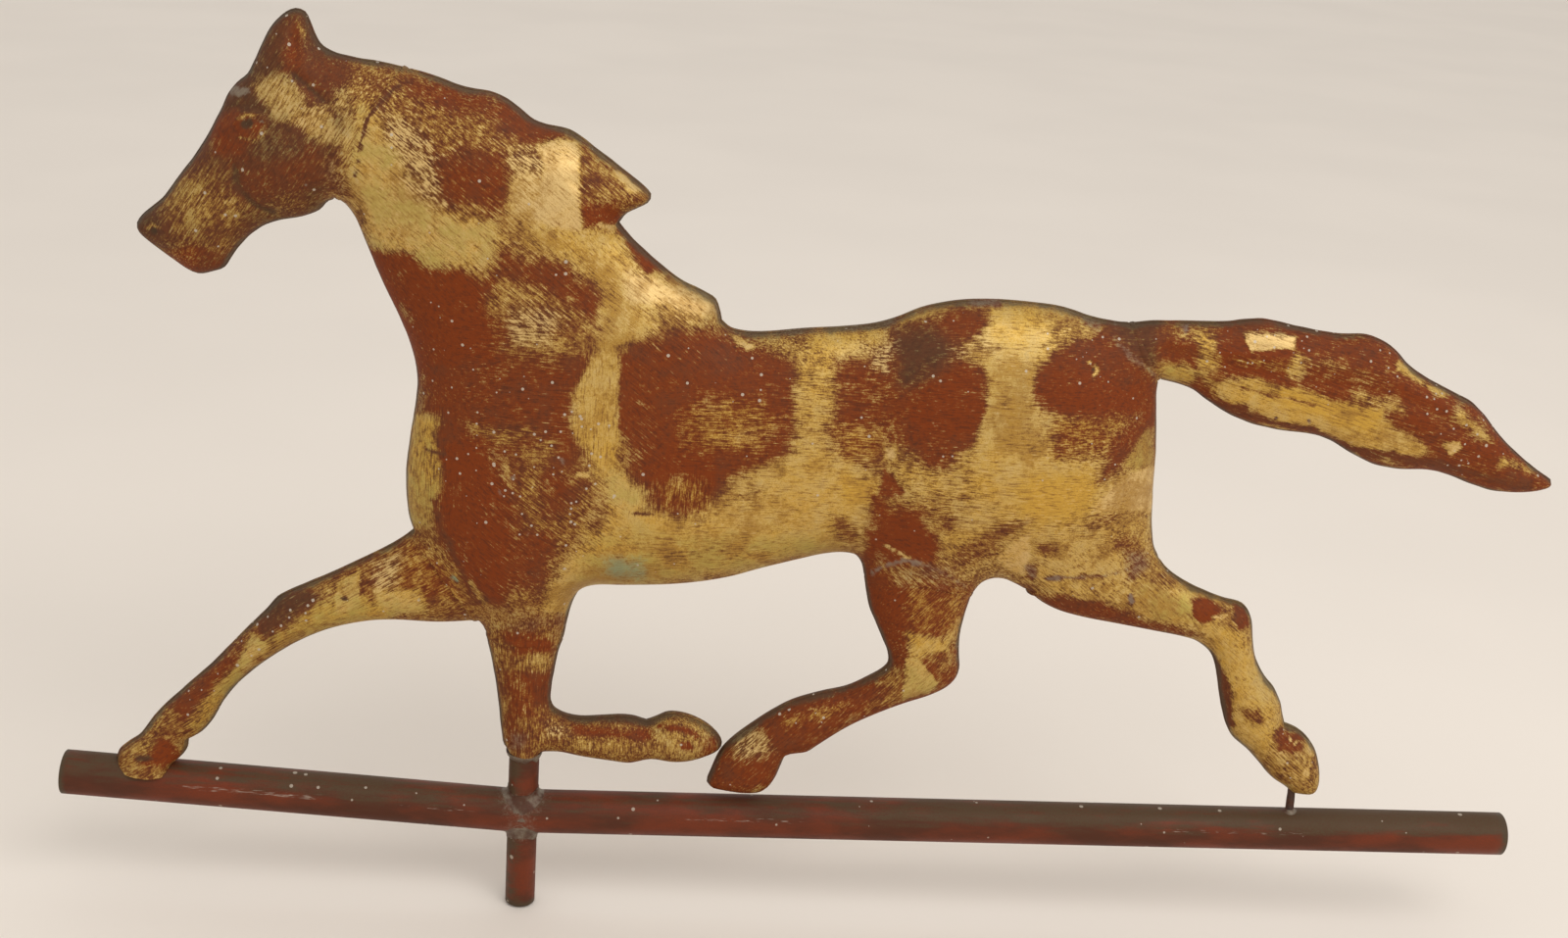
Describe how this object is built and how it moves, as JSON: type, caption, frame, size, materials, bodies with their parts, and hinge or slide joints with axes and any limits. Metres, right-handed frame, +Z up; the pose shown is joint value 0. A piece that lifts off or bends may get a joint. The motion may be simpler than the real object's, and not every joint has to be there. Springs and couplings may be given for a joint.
{
  "type": "horse weathervane",
  "caption": "Full-bodied running horse of soldered sheet-copper half shells with a flowing tail, on a horizontal tube whose sleeve turns freely on a pivot spindle.",
  "frame": {"origin": "middle of the pivot spindle's flat foot, on the turning axis", "axes": "+X along the tube from the horse's head to its tail, +Y to the horse's right, +Z up along the turning axis"},
  "size_m": [0.8531, 0.0682, 0.5179],
  "materials": {
    "leaf_over_copper": "worn metal leaf over red-brown bole on sheet copper",
    "bole_over_copper": "red-brown bole with a green-brown patina on copper tube",
    "solder": "dull grey tin and lead solder",
    "iron": "dark rusted iron"
  },
  "bodies": {
    "spindle": {"pivot_spindle": "iron"},
    "vane": {"body_left_half": "leaf_over_copper", "body_right_half": "leaf_over_copper", "head_left_half": "leaf_over_copper", "head_right_half": "leaf_over_copper", "tail_left_half": "leaf_over_copper", "tail_right_half": "leaf_over_copper", "reaching_foreleg_left_half": "leaf_over_copper", "reaching_foreleg_right_half": "leaf_over_copper", "folded_foreleg_left_half": "leaf_over_copper", "folded_foreleg_right_half": "leaf_over_copper", "tucked_hindleg_left_half": "leaf_over_copper", "tucked_hindleg_right_half": "leaf_over_copper", "trailing_hindleg_left_half": "leaf_over_copper", "trailing_hindleg_right_half": "leaf_over_copper", "head_seam_solder": "solder", "crest_seam_solder": "solder", "tail_seam_solder": "solder", "buttock_seam_solder": "solder", "trailing_hindleg_rear_seam_solder": "solder", "trailing_hindleg_front_seam_solder": "solder", "groin_seam_solder": "solder", "tucked_hindleg_seam_solder": "solder", "belly_seam_solder": "solder", "folded_foreleg_rear_seam_solder": "solder", "folded_foreleg_front_seam_solder": "solder", "armpit_seam_solder": "solder", "reaching_foreleg_rear_seam_solder": "solder", "reaching_foreleg_front_seam_solder": "solder", "chest_seam_solder": "solder", "neck_joint_solder": "solder", "tail_joint_solder": "solder", "trailing_hindleg_joint_solder": "solder", "tucked_hindleg_joint_solder": "solder", "folded_foreleg_joint_solder": "solder", "reaching_foreleg_joint_solder": "solder", "direction_tube": "bole_over_copper", "sleeve_tube": "bole_over_copper", "bearing_plug": "iron", "stay_rod": "iron", "upper_sleeve_fillet": "solder", "lower_sleeve_fillet": "solder", "knee_fillet": "solder", "stay_rod_fillet": "solder"}
  },
  "joints": [
    {"name": "vane_turn", "type": "hinge", "parent": "spindle", "child": "vane", "pos_m": [0, 0, 0], "axis": [0, 0, 1], "continuous": true}
  ]
}
